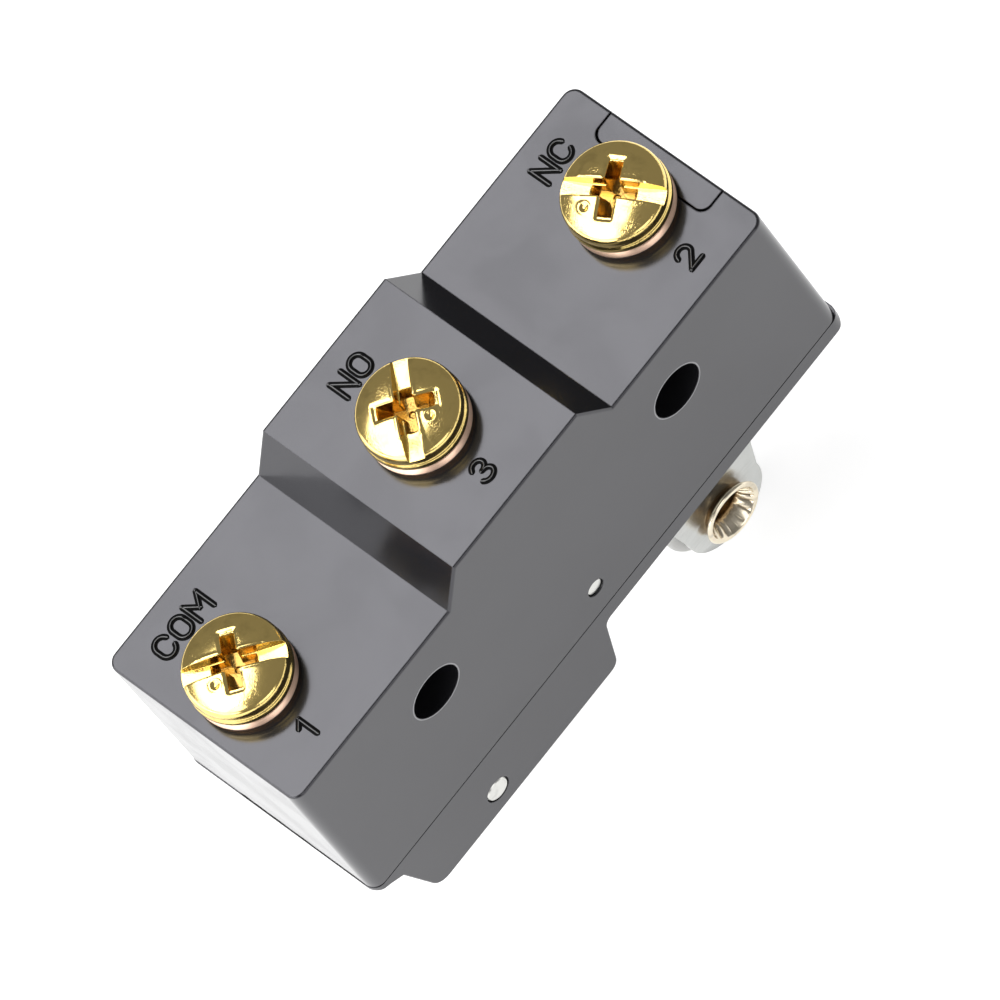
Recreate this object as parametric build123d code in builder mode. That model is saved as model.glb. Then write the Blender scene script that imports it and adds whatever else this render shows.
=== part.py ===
# Micro switch with a hinged roller lever and three screw terminals.
# X runs along the body from the COM end to the NC end, Y from side to side, and +Z points
# out of the terminal side. The origin lies midway between the two mounting holes, at half
# the body's thickness. Every size is in millimetres.
from build123d import *
import math
import os

os.makedirs("parts", exist_ok=True)

# Case and cover
body_length = 49.2
body_depth = 17.45
outer_face_z = 5.65
centre_face_z = 9.0
centre_top_half = 6.43
centre_foot_half = 8.6
seam_z = -11.4
cover_bottom_z = -12.9
cover_overhang = 0.2
com_end_overhang = 0.05
corner_r = 0.95
edge_r = 0.2
seam_bevel = 0.1
cover_corner_r = 1.1
cover_edge = 0.06
lip_edge = 0.35
lip_rise = 0.7

# Mounting holes
hole_pitch = 25.4
hole_r = 2.1

# Cavity
wall = 2.2
cavity_top_z = -3.6
cavity_corner_r = 1.0

# Raised block for the lever: from its foot at the COM end, and how far its ends lean
block_inset = 2.15
block_length = 21.5
block_left_lean = 1.4
block_right_lean = 1.15
block_bottom_z = -18.05
block_corner_r = 0.9
block_heel_r = 1.3
block_foot_r = 0.7
slot_half_width = 3.5
slot_floor_z = -13.1

# Hinge pin, a little in front of the slot's closed end
hinge_from_foot = 8.59
hinge_z = -15.82
hinge_pin_r = 0.95
hinge_ring = 0.08
hinge_ring_depth = 0.3
slot_from_hinge = 3.34

# Cover pins and what they hold
cover_pin_z = -8.6
cover_pin_r = 0.725
cover_pin_recess = 0.15
pin_chamfer = 0.1
tab_half_length = 2.5
tab_thickness = 1.5
tab_top_z = -6.6
rail_inset = 4.6
rail_thickness = 0.9
rail_height = 1.0
inside_gap = 0.1

# End plug
plug_length = 2.14
plug_half_width = 5.05
plug_depth = 1.2
plug_corner_r = 0.8
plug_line = 0.14

# Terminals
terminal_inset = 4.7
collar_r = 2.35
collar_height = 1.25
insert_r = 3.2
insert_height = 6.8
bore_depth = 6.0
strip = 0.8
strip_half_width = 2.5
strip_gap = 0.1

# Screws and washers
screw_r = 2.0
thread_gap = 0.05
screw_length = 5.6
screw_tip = 0.4
head_r = 3.775
head_height = 2.3
head_rim = 1.35
head_edge = 0.2
crown_share = 0.62
crown_flat_r = 1.0
slot_width = 1.2
slot_depth = 1.15
cross_length = 4.2
cross_width = 0.96
cross_depth = 1.75
washer_r = 3.72
washer_hole_r = 2.15
washer_height = 0.9
washer_foot_r = 3.0
washer_dish = 0.3
washer_edge = 0.15

# Lever, roller and rivet
lever_sheet = 0.8
lever_half_width = 3.1
lever_angle = 14.0
tail_from_hinge = 1.34
flange_depth = 2.0
eye_r = 1.9
pin_clearance = 0.05
roller_from_hinge = 25.56
roller_z = -27.0
roller_r = 4.4
roller_half_width = 2.0
roller_edge = 0.4
lever_past_roller = 4.4
ear_r = 3.65
ear_flare = 0.5
rivet_r = 1.9
rivet_bore_r = 1.45
rivet_flare_r = 2.45
rivet_flare_length = 0.9
rivet_lip = 0.12
rivet_flange_r = 2.6
rivet_flange = 0.4
roller_clearance = 0.05

# Plunger
plunger_from_hinge = 9.86
plunger_tip_z = -16.2
plunger_r = 1.5
plunger_clearance = 0.05
plunger_flange_r = 2.7
plunger_flange = 0.9
plunger_bar_x = 1.3
plunger_bar_y = 5.2
lever_gap = 0.1

# Blade and contacts: along the blade, places count from the terminals
blade_sheet = 0.3
blade_z = -8.0
blade_half_width = 2.8
blade_corner_r = 1.0
window_half_width = 1.55
window_corner_r = 0.5
window_from_rivet = 2.5
window_to_contact = 5.0
centre_leg_half = 0.95
centre_leg_inset = 3.8
centre_leg_rise = 1.25
blade_rivet_inset = 2.6
blade_rivet_r = 0.9
blade_rivet_head_r = 1.5
blade_rivet_head = 0.6
foot_past_rivet = 1.8
tongue_half_width = 1.2
contact_inset = 4.4
contact_r = 1.9
contact_neck_r = 1.0
contact_head = 0.9
contact_gap = 0.5
contact_shank_r = 0.9
blade_end = 2.4
bracket_end = 2.1
nc_strip_inset = 0.9

half_length = body_length / 2
half_depth = body_depth / 2
hole_x = hole_pitch / 2
cover_left_x = -half_length - com_end_overhang
cover_right_x = half_length + cover_overhang
cavity_half_length = half_length - wall
cavity_half_depth = half_depth - wall
plug_x = half_length - plug_length
terminal_x = half_length - terminal_inset

block_left_foot_x = block_inset - half_length
block_left_top_x = block_left_foot_x + block_left_lean
block_right_foot_x = block_left_foot_x + block_length
block_right_top_x = block_right_foot_x - block_right_lean
hinge_x = block_left_foot_x + hinge_from_foot
slot_left_x = hinge_x - slot_from_hinge
plunger_x = hinge_x + plunger_from_hinge
roller_x = hinge_x + roller_from_hinge
lever_tail_x = hinge_x - tail_from_hinge
lever_end_x = roller_x + lever_past_roller
slope = math.tan(math.radians(lever_angle))
sheet_drop = lever_sheet / math.cos(math.radians(lever_angle))

blade_top_z = blade_z + blade_sheet / 2
blade_low_z = blade_z - blade_sheet / 2
blade_rivet_x = blade_rivet_inset - terminal_x
foot_right_x = blade_rivet_x + foot_past_rivet
contact_x = terminal_x - contact_inset
window_left_x = blade_rivet_x + window_from_rivet
window_right_x = contact_x - window_to_contact
centre_leg_x = window_left_x + centre_leg_inset
blade_left_x = -terminal_x - blade_sheet
blade_right_x = contact_x + blade_end
nc_contact_z = blade_low_z - contact_head
no_contact_z = blade_top_z + contact_head + contact_gap
nc_foot_z = nc_contact_z - contact_head
no_foot_z = no_contact_z + contact_head
no_strip_x = insert_r - strip - strip_gap
nc_strip_x = terminal_x + nc_strip_inset
bracket_end_x = contact_x + bracket_end


def web_top(x):
    """Height of the lever's upper side at x: a straight line below the plunger's tip."""
    return plunger_tip_z - lever_gap - (x - plunger_x) * slope


def keep(builder, name):
    """Name a finished solid and save it."""
    builder.part.label = name
    export_step(builder.part, f"parts/{name}.step")


def box(x0, x1, y0, y1, z0, z1, mode=Mode.ADD):
    """Add or remove a block between two opposite corners."""
    with Locations(((x0 + x1) / 2, (y0 + y1) / 2, (z0 + z1) / 2)):
        Box(x1 - x0, y1 - y0, z1 - z0, mode=mode)


def side_pin(name, x, z, y0, y1, radius):
    """Save a plain round pin that lies along Y."""
    with BuildPart() as pin:
        with BuildSketch(Plane.XZ.offset(-y0)):
            with Locations((x, z)):
                Circle(radius)
        extrude(amount=y0 - y1)
        chamfer(pin.edges().filter_by(GeomType.CIRCLE), pin_chamfer)
    keep(pin, name)


# Terminals: an insert under each screw and a strip down into the cavity
def terminal(name, x, face_z, foot):
    """Save one terminal: a stepped brass insert with a blind bore, and its strip."""
    bottom_z = face_z - insert_height
    with BuildPart() as made:
        with BuildSketch(Plane.XY.offset(bottom_z)):
            with Locations((x, 0)):
                Circle(insert_r)
        extrude(amount=insert_height - collar_height)
        with BuildSketch(Plane.XY.offset(face_z - collar_height)):
            with Locations((x, 0)):
                Circle(collar_r)
        extrude(amount=collar_height)
        for x0, x1, y_half, z0, z1 in foot:
            box(x0, x1, -y_half, y_half, z0, z1)
        with Locations((x, 0, face_z - bore_depth / 2)):
            Cylinder(screw_r + thread_gap, bore_depth, mode=Mode.SUBTRACT)
        for rivet_x in (blade_rivet_x, contact_x):
            with Locations((rivet_x, 0, (cavity_top_z + seam_z) / 2)):
                Cylinder(contact_shank_r, cavity_top_z - seam_z, mode=Mode.SUBTRACT)
    keep(made, name)
    return made


com_foot = [
    (-terminal_x, -terminal_x + strip, strip_half_width,
     blade_top_z, outer_face_z - insert_height + strip),
    (blade_left_x, foot_right_x, strip_half_width, blade_top_z, blade_top_z + strip),
    (foot_right_x, centre_leg_x, tongue_half_width, blade_top_z, blade_top_z + strip),
]
no_foot = [
    (no_strip_x, no_strip_x + strip, strip_half_width,
     no_foot_z, centre_face_z - insert_height + strip),
    (no_strip_x, bracket_end_x, strip_half_width, no_foot_z, no_foot_z + strip),
]
nc_foot = [
    (nc_strip_x, nc_strip_x + strip, strip_half_width,
     nc_foot_z - strip, outer_face_z - insert_height + strip),
    (contact_x - bracket_end, nc_strip_x + strip, strip_half_width,
     nc_foot_z - strip, nc_foot_z),
]
com_terminal = terminal("com_terminal", -terminal_x, outer_face_z, com_foot)
no_terminal = terminal("no_terminal", 0, centre_face_z, no_foot)
nc_terminal = terminal("nc_terminal", terminal_x, outer_face_z, nc_foot)

# Case
with BuildPart() as case:
    with BuildSketch(Plane.XZ):
        with BuildLine():
            Polyline(
                (-half_length, seam_z),
                (-half_length, outer_face_z),
                (-centre_foot_half, outer_face_z),
                (-centre_top_half, centre_face_z),
                (centre_top_half, centre_face_z),
                (centre_foot_half, outer_face_z),
                (half_length, outer_face_z),
                (half_length, seam_z),
                close=True,
            )
        make_face()
    extrude(amount=half_depth, both=True)
    fillet(case.edges().filter_by(Axis.Z), corner_r)
    rim = case.edges().filter_by(lambda e: e.center().Z > 0 and not (
        abs(e.center().Y) < 1 and abs(e.center().X) < half_length - 1))
    fillet(rim, edge_r)
    chamfer(case.faces().sort_by(Axis.Z)[0].outer_wire().edges(), seam_bevel)
    with BuildSketch(Plane.XY.offset(seam_z)):
        RectangleRounded(2 * cavity_half_length, 2 * cavity_half_depth, cavity_corner_r)
    extrude(amount=cavity_top_z - seam_z, mode=Mode.SUBTRACT)
    with BuildSketch(Plane.XZ):
        with GridLocations(hole_pitch, 0, 2, 1):
            Circle(hole_r)
        with Locations((0, cover_pin_z)):
            Circle(cover_pin_r)
    extrude(amount=body_depth, both=True, mode=Mode.SUBTRACT)
    with BuildSketch(Plane.XY.offset(outer_face_z - plug_depth)):
        with Locations((plug_x - plug_line / 2 + body_length / 4, 0)):
            RectangleRounded(body_length / 2, 2 * plug_half_width + plug_line, plug_corner_r)
    extrude(amount=2 * plug_depth, mode=Mode.SUBTRACT)
    for made in (com_terminal, no_terminal, nc_terminal):
        add(made.part, mode=Mode.SUBTRACT)
    for x, face_z in (
        (-terminal_x, outer_face_z),
        (0, centre_face_z),
        (terminal_x, outer_face_z),
    ):
        with Locations((x, 0, face_z - bore_depth / 2)):
            Cylinder(screw_r + thread_gap, bore_depth, mode=Mode.SUBTRACT)
keep(case, "case")

# End plug, let into the NC face
with BuildPart() as end_plug:
    with BuildSketch(Plane.XY.offset(outer_face_z - plug_depth)):
        with Locations((plug_x + plug_line / 2 + body_length / 4, 0)):
            RectangleRounded(body_length / 2, 2 * plug_half_width - plug_line, plug_corner_r)
        with Locations((half_length + body_length / 4, 0)):
            Rectangle(body_length / 2, body_depth, mode=Mode.SUBTRACT)
    extrude(amount=plug_depth)
    fillet(end_plug.edges().group_by(Axis.Z)[-1].sort_by(Axis.X)[-1], edge_r)
keep(end_plug, "end_plug")

# Cover with the raised block
with BuildPart() as cover:
    with BuildSketch(Plane.XZ) as outline:
        with BuildLine():
            Polyline(
                (cover_left_x, seam_z),
                (cover_left_x, seam_z - lip_edge),
                (cover_left_x + cover_corner_r, cover_bottom_z + lip_rise),
                (block_left_foot_x, cover_bottom_z),
                (block_left_top_x, block_bottom_z),
                (block_right_top_x, block_bottom_z),
                (block_right_foot_x, cover_bottom_z),
                (cover_right_x, cover_bottom_z),
                (cover_right_x, seam_z),
                close=True,
            )
        make_face()
        for x, z, radius in (
            (block_left_top_x, block_bottom_z, block_heel_r),
            (block_right_top_x, block_bottom_z, block_corner_r),
            (block_right_foot_x, cover_bottom_z, block_foot_r),
            (cover_right_x, cover_bottom_z, cover_corner_r),
        ):
            fillet(outline.vertices().sort_by_distance((x, z))[0], radius)
    extrude(amount=half_depth, both=True)
    chamfer(cover.faces().filter_by(Axis.Y).edges().filter_by(
        lambda e: e.center().Z < seam_z - lip_edge), cover_edge)
    with BuildSketch(Plane.XY.offset(seam_z)):
        with Locations(((cover_left_x + cover_right_x) / 2, 0)):
            RectangleRounded(cover_right_x - cover_left_x, body_depth, corner_r)
    extrude(amount=block_bottom_z - seam_z, mode=Mode.INTERSECT)
    box(slot_left_x, block_right_foot_x + block_foot_r, -slot_half_width, slot_half_width,
        block_bottom_z, slot_floor_z, mode=Mode.SUBTRACT)
    for side in (-1, 1):
        outer = side * (cavity_half_depth - inside_gap)
        rail = outer - side * rail_thickness
        tab = outer - side * tab_thickness
        box(rail_inset - half_length, half_length - rail_inset, min(outer, rail), max(outer, rail),
            seam_z, seam_z + rail_height)
        box(-tab_half_length, tab_half_length, min(outer, tab), max(outer, tab),
            seam_z, tab_top_z)
        with BuildSketch(Plane.XZ.offset(side * (half_depth - hinge_ring_depth))):
            with Locations((hinge_x, hinge_z)):
                Circle(hinge_pin_r + hinge_ring)
        extrude(amount=side * hinge_ring_depth, mode=Mode.SUBTRACT)
    with BuildSketch(Plane.XZ):
        with Locations((hinge_x, hinge_z)):
            Circle(hinge_pin_r)
        with Locations((0, cover_pin_z)):
            Circle(cover_pin_r)
    extrude(amount=body_depth, both=True, mode=Mode.SUBTRACT)
    with Locations((plunger_x, 0, seam_z)):
        Cylinder(plunger_r + plunger_clearance, 2 * (seam_z - block_bottom_z), mode=Mode.SUBTRACT)
keep(cover, "cover")

# Pins
side_pin("hinge_pin", hinge_x, hinge_z, -half_depth, half_depth, hinge_pin_r)
pin_outer = half_depth - cover_pin_recess
pin_inner = cavity_half_depth - inside_gap - tab_thickness
side_pin("cover_pin_front", 0, cover_pin_z, -pin_outer, -pin_inner, cover_pin_r)
side_pin("cover_pin_back", 0, cover_pin_z, pin_inner, pin_outer, cover_pin_r)

# Plunger
with BuildPart() as plunger:
    with BuildSketch(Plane.XZ):
        with BuildLine():
            Polyline(
                (plunger_x, plunger_tip_z),
                (plunger_x, seam_z + plunger_flange),
                (plunger_x + plunger_flange_r, seam_z + plunger_flange),
                (plunger_x + plunger_flange_r, seam_z),
                (plunger_x + plunger_r, seam_z),
                (plunger_x + plunger_r, plunger_tip_z + plunger_r),
            )
            RadiusArc(
                (plunger_x + plunger_r, plunger_tip_z + plunger_r),
                (plunger_x, plunger_tip_z),
                plunger_r,
            )
        make_face()
    revolve(axis=Axis((plunger_x, 0, 0), (0, 0, 1)))
    box(plunger_x - plunger_bar_x / 2, plunger_x + plunger_bar_x / 2,
        -plunger_bar_y / 2, plunger_bar_y / 2,
        seam_z + plunger_flange, blade_low_z - plunger_clearance)
keep(plunger, "plunger")

# Lever: a web with flanges that widen into the hinge eyes and the roller ears
with BuildPart() as lever:
    with BuildSketch(Plane.XZ):
        Polygon(
            (lever_tail_x, web_top(lever_tail_x)),
            (lever_end_x, web_top(lever_end_x)),
            (lever_end_x, web_top(lever_end_x) - flange_depth),
            (lever_tail_x, web_top(lever_tail_x) - flange_depth),
            align=None,
        )
        with Locations((hinge_x, hinge_z)):
            Circle(eye_r)
        Polygon(
            (roller_x - ear_r - 2 * ear_flare, web_top(roller_x - ear_r) - lever_sheet),
            (roller_x + ear_r + 2 * ear_flare, web_top(roller_x + ear_r) - lever_sheet),
            (roller_x + ear_r, roller_z + ear_flare),
            (roller_x - ear_r, roller_z + ear_flare),
            align=None,
        )
        with Locations((roller_x, roller_z)):
            Circle(ear_r)
    extrude(amount=lever_half_width, both=True)
    with BuildSketch(Plane.XZ):
        under_left_x = lever_tail_x - 2 * eye_r
        under_right_x = lever_end_x + 2 * eye_r
        Polygon(
            (under_left_x, web_top(under_left_x) - sheet_drop),
            (under_right_x, web_top(under_right_x) - sheet_drop),
            (under_right_x, roller_z - 2 * ear_r),
            (under_left_x, roller_z - 2 * ear_r),
            align=None,
        )
    extrude(amount=lever_half_width - lever_sheet, both=True, mode=Mode.SUBTRACT)
    with BuildSketch(Plane.XZ):
        with Locations((hinge_x, hinge_z)):
            Circle(hinge_pin_r + pin_clearance)
        with Locations((roller_x, roller_z)):
            Circle(rivet_r)
    extrude(amount=body_depth, both=True, mode=Mode.SUBTRACT)
keep(lever, "lever")

# Roller rivet: a tube, flared in front and rolled over behind
with BuildPart() as roller_rivet:
    with BuildSketch(Plane.XY.offset(roller_z)):
        with BuildLine():
            Polyline(
                (roller_x + rivet_bore_r, -lever_half_width + 2 * rivet_lip),
                (roller_x + rivet_flare_r - 2 * rivet_lip, -lever_half_width - rivet_flare_length),
                (roller_x + rivet_flare_r, -lever_half_width - rivet_flare_length + rivet_lip),
                (roller_x + rivet_r + 2 * rivet_lip, -lever_half_width),
                (roller_x + rivet_r, -lever_half_width),
                (roller_x + rivet_r, lever_half_width),
                (roller_x + rivet_flange_r, lever_half_width),
                (roller_x + rivet_flange_r, lever_half_width + rivet_flange),
                (roller_x + rivet_bore_r, lever_half_width + rivet_flange),
                close=True,
            )
        make_face()
    revolve(axis=Axis((roller_x, 0, roller_z), (0, 1, 0)))
keep(roller_rivet, "roller_rivet")

# Roller
with BuildPart() as roller:
    with BuildSketch(Plane.XZ):
        with Locations((roller_x, roller_z)):
            Circle(roller_r)
            Circle(rivet_r + roller_clearance, mode=Mode.SUBTRACT)
    extrude(amount=roller_half_width, both=True)
    chamfer(roller.edges().filter_by(GeomType.CIRCLE).group_by(SortBy.RADIUS)[-1], roller_edge)
keep(roller, "roller")

# Blade: a flat spring with a window, and a bowed centre leg in the window
with BuildPart() as snap_blade:
    with BuildSketch(Plane.XY.offset(blade_low_z)):
        with Locations(((blade_left_x + blade_right_x) / 2, 0)):
            RectangleRounded(blade_right_x - blade_left_x, 2 * blade_half_width, blade_corner_r)
        with Locations(((window_left_x + window_right_x) / 2, 0)):
            RectangleRounded(window_right_x - window_left_x, 2 * window_half_width,
                             window_corner_r, mode=Mode.SUBTRACT)
        with Locations((blade_rivet_x, 0)):
            Circle(blade_rivet_r, mode=Mode.SUBTRACT)
        with Locations((contact_x, 0)):
            Circle(contact_neck_r, mode=Mode.SUBTRACT)
    extrude(amount=blade_sheet)
    leg_mid_x = (centre_leg_x + window_right_x) / 2
    leg_end_x = window_right_x + blade_sheet
    with BuildSketch(Plane.XZ):
        with BuildLine():
            ThreePointArc(
                (centre_leg_x, blade_top_z),
                (leg_mid_x, blade_low_z + centre_leg_rise),
                (leg_end_x, blade_low_z),
            )
            Line((leg_end_x, blade_low_z), (leg_end_x, blade_top_z))
            ThreePointArc(
                (leg_end_x, blade_top_z),
                (leg_mid_x, blade_top_z + centre_leg_rise),
                (centre_leg_x, blade_top_z + blade_sheet),
            )
            Line((centre_leg_x, blade_top_z + blade_sheet), (centre_leg_x, blade_top_z))
        make_face()
    extrude(amount=centre_leg_half, both=True)
keep(snap_blade, "snap_blade")


# Rivets and contacts are stacks of discs: radius, lower and upper height
def disc_stack(name, x, discs):
    """Save coaxial discs on a vertical line at x as one solid."""
    with BuildPart() as made:
        for radius, z0, z1 in discs:
            with Locations((x, 0, (z0 + z1) / 2)):
                Cylinder(radius, z1 - z0)
    keep(made, name)


disc_stack("blade_rivet", blade_rivet_x, [
    (blade_rivet_head_r, blade_low_z - blade_rivet_head, blade_low_z),
    (blade_rivet_r, blade_low_z, blade_top_z + strip),
    (blade_rivet_head_r, blade_top_z + strip, blade_top_z + strip + blade_rivet_head),
])
disc_stack("moving_contact", contact_x, [
    (contact_r, nc_contact_z, blade_low_z),
    (contact_neck_r, blade_low_z, blade_top_z),
    (contact_r, blade_top_z, blade_top_z + contact_head),
])
disc_stack("nc_contact", contact_x, [
    (contact_r, nc_foot_z, nc_contact_z),
    (contact_shank_r, nc_foot_z - strip, nc_foot_z),
])
disc_stack("no_contact", contact_x, [
    (contact_r, no_contact_z, no_foot_z),
    (contact_shank_r, no_foot_z, no_foot_z + strip),
])

# Washers and screws
for name, x, face_z, slot_angle in (
    ("com", -terminal_x, outer_face_z, 141),
    ("no", 0, centre_face_z, 50),
    ("nc", terminal_x, outer_face_z, 118),
):
    seat_z = face_z + washer_height
    with BuildPart() as washer:
        with BuildSketch(Plane.XZ):
            with BuildLine():
                Polyline(
                    (x + washer_hole_r, face_z + washer_dish),
                    (x + washer_foot_r, face_z),
                    (x + washer_r - washer_edge, face_z),
                    (x + washer_r, face_z + washer_edge),
                    (x + washer_r, seat_z - washer_dish),
                    (x + washer_r - washer_dish, seat_z),
                    (x + washer_hole_r, seat_z),
                    close=True,
                )
            make_face()
        revolve(axis=Axis((x, 0, 0), (0, 0, 1)))
    keep(washer, f"{name}_washer")

    top_z = seat_z + head_height
    crown_z = seat_z + head_rim + (1 - crown_share ** 2) * (head_height - head_rim)
    with BuildPart() as screw:
        with BuildSketch(Plane.XZ):
            with BuildLine():
                Polyline(
                    (x, top_z),
                    (x, face_z - screw_length),
                    (x + screw_r - screw_tip, face_z - screw_length),
                    (x + screw_r, face_z - screw_length + screw_tip),
                    (x + screw_r, seat_z),
                    (x + head_r - head_edge, seat_z),
                    (x + head_r, seat_z + head_edge),
                    (x + head_r, seat_z + head_rim),
                    (x + crown_share * head_r, crown_z),
                    (x + crown_flat_r, top_z),
                    close=True,
                )
            make_face()
        revolve(axis=Axis((x, 0, 0), (0, 0, 1)))
        with Locations(Location((x, 0, top_z), (0, 0, slot_angle))):
            Box(4 * head_r, slot_width, 2 * slot_depth, mode=Mode.SUBTRACT)
            Box(cross_length, cross_width, 2 * cross_depth, mode=Mode.SUBTRACT)
            Box(cross_width, cross_length, 2 * cross_depth, mode=Mode.SUBTRACT)
    keep(screw, f"{name}_screw")
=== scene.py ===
import math

import bmesh
import bpy
import numpy as np
from bpy.props import FloatProperty, FloatVectorProperty
from mathutils import Matrix, Vector


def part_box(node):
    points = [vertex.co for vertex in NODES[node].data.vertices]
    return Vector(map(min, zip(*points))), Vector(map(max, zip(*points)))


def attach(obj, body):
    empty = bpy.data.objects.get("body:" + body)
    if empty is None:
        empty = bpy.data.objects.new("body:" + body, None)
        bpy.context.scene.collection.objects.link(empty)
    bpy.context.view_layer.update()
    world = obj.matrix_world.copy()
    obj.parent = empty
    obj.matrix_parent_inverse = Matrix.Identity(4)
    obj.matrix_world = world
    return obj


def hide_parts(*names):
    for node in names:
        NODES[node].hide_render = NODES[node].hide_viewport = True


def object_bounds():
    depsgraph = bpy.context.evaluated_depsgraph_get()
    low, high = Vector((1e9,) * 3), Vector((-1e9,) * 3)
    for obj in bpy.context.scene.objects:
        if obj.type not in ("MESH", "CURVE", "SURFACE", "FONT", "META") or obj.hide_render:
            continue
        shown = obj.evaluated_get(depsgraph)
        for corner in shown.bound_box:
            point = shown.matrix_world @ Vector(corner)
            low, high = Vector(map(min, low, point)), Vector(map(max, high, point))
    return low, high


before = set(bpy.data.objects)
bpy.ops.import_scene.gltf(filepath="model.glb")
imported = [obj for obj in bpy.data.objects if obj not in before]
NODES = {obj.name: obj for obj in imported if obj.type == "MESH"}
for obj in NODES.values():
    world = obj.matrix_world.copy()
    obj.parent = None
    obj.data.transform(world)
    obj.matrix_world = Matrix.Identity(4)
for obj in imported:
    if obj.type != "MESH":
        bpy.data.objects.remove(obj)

bl_info = {
    "name": "Micro switch",
    "version": (1, 0, 0),
    "blender": (4, 5, 0),
    "location": "View3D > Sidebar > Micro switch",
    "description": "Finishes, screws, lettering and stage for a micro switch with a roller lever",
    "category": "Object",
}

MM = 0.001
CAD_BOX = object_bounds()


def span(node):
    """Lowest and highest corner of a CAD node, in millimetres."""
    lo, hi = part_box(node)
    return np.array(lo) / MM, np.array(hi) / MM


CASE_LO, CASE_HI = span("case")
END_FACE_Z = span("end_plug")[1][2]
TERMINALS = ("com", "no", "nc")
HOLE_INSET = 12.7
HOLE_RADIUS = 2.1
SLOT_ANGLES = {"com": 141.0, "no": 50.0, "nc": 118.0}
BURR_PLACES = {"com": (-1.90, -0.22), "no": (0.44, -1.90), "nc": (-2.02, 0.64)}
SEAM_Z = CASE_LO[2]
SEAM_SINK = 0.02
SEAM_FRONT, SEAM_END = CASE_LO[1] + SEAM_SINK, CASE_LO[0] - SEAM_SINK
# Painted shade: almost black strips along the seams between case and cover, for the shade in
# their gaps.
# Name, start, end, half width, depth, fading and rate
SEAM_GAP_SHADES = (
    ("seam_gap_shade_front", (CASE_HI[0] - 0.9, SEAM_FRONT, SEAM_Z), (2.0, SEAM_FRONT, SEAM_Z),
     0.14, 0.014, 0.25, 1.0),
    ("seam_gap_shade_end", (SEAM_END, 3.8, SEAM_Z + 0.24),
     (SEAM_END, CASE_LO[1] + 0.9, SEAM_Z + 0.06), 0.27, 0.025, 0.5, 0.3),
)
# Name, word, centre and height of the face
MARKS = (
    ("mark_com", "COM", (-19.61, 6.0), END_FACE_Z),
    ("mark_no", "NO", (0.0, 6.05), CASE_HI[2]),
    ("mark_nc", "NC", (19.65, 6.15), END_FACE_Z),
    ("mark_one", "1", (-20.28, -5.86), END_FACE_Z),
    ("mark_three", "3", (-0.13, -5.88), CASE_HI[2]),
    ("mark_two", "2", (19.6, -6.07), END_FACE_Z),
)


# Sizes and colours that a user would change

class MouldingSettings(bpy.types.PropertyGroup):
    colour: FloatVectorProperty(
        name="Moulding colour", description="Colour of the case and the cover",
        subtype="COLOR", size=3, min=0, max=1, default=(0.013, 0.013, 0.015))
    gloss: FloatProperty(
        name="Roughness", description="Roughness of the moulded faces",
        subtype="FACTOR", min=0, max=1, default=0.15)


class MetalSettings(bpy.types.PropertyGroup):
    gilt: FloatVectorProperty(
        name="Gilt colour", description="Colour of the terminal screws",
        subtype="COLOR", size=3, min=0, max=1, default=(0.90, 0.67, 0.235))
    copper: FloatVectorProperty(
        name="Copper colour", description="Colour of the dished washers",
        subtype="COLOR", size=3, min=0, max=1, default=(0.96, 0.66, 0.49))
    steel: FloatVectorProperty(
        name="Steel colour", description="Colour of the lever",
        subtype="COLOR", size=3, min=0, max=1, default=(0.62, 0.63, 0.61))


class ScrewSettings(bpy.types.PropertyGroup):
    slot_width: FloatProperty(
        name="Slot width", description="Width of the slot across the screw head",
        subtype="DISTANCE", unit="LENGTH", default=0.00122)
    thread_pitch: FloatProperty(
        name="Thread pitch", description="Height that the screw rises in one turn",
        subtype="DISTANCE", unit="LENGTH", default=0.0007)
    thread_depth: FloatProperty(
        name="Thread depth", description="Depth of the thread's groove",
        subtype="DISTANCE", unit="LENGTH", default=0.00036)


class LetterSettings(bpy.types.PropertyGroup):
    height: FloatProperty(
        name="Letter height", description="Height of the moulded letters",
        subtype="DISTANCE", unit="LENGTH", default=0.00165)
    stroke: FloatProperty(
        name="Stroke width", description="Width of a letter's raised stroke",
        subtype="DISTANCE", unit="LENGTH", default=0.00018)
    rise: FloatProperty(
        name="Rise", description="How far the letters stand out of the face",
        subtype="DISTANCE", unit="LENGTH", default=0.00012)


# Shader maths

BEVEL_SAMPLES = 4


class Sum:
    """A number in a material, as a socket; its operators add Math nodes."""

    def __init__(self, painter, socket):
        self.painter = painter
        self.socket = socket

    def _math(self, operation, *terms):
        made = self.painter.node("ShaderNodeMath", {"operation": operation},
                                 dict(enumerate(terms)))
        return Sum(self.painter, made.outputs[0])

    def __add__(self, other):
        return self._math("ADD", self, other)

    def __radd__(self, other):
        return self._math("ADD", other, self)

    def __sub__(self, other):
        return self._math("SUBTRACT", self, other)

    def __rsub__(self, other):
        return self._math("SUBTRACT", other, self)

    def __mul__(self, other):
        return self._math("MULTIPLY", self, other)

    def __rmul__(self, other):
        return self._math("MULTIPLY", other, self)

    def __pow__(self, other):
        return self._math("POWER", self, other)

    def __rpow__(self, other):
        return self._math("POWER", other, self)

    def absolute(self):
        return self._math("ABSOLUTE", self)

    def ramp(self, low, high):
        """0 at low and 1 at high, with soft ends."""
        made = self.painter.node("ShaderNodeMapRange", {"interpolation_type": "SMOOTHSTEP"},
                                 {"Value": self, "From Min": low, "From Max": high})
        return Sum(self.painter, made.outputs["Result"])


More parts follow.
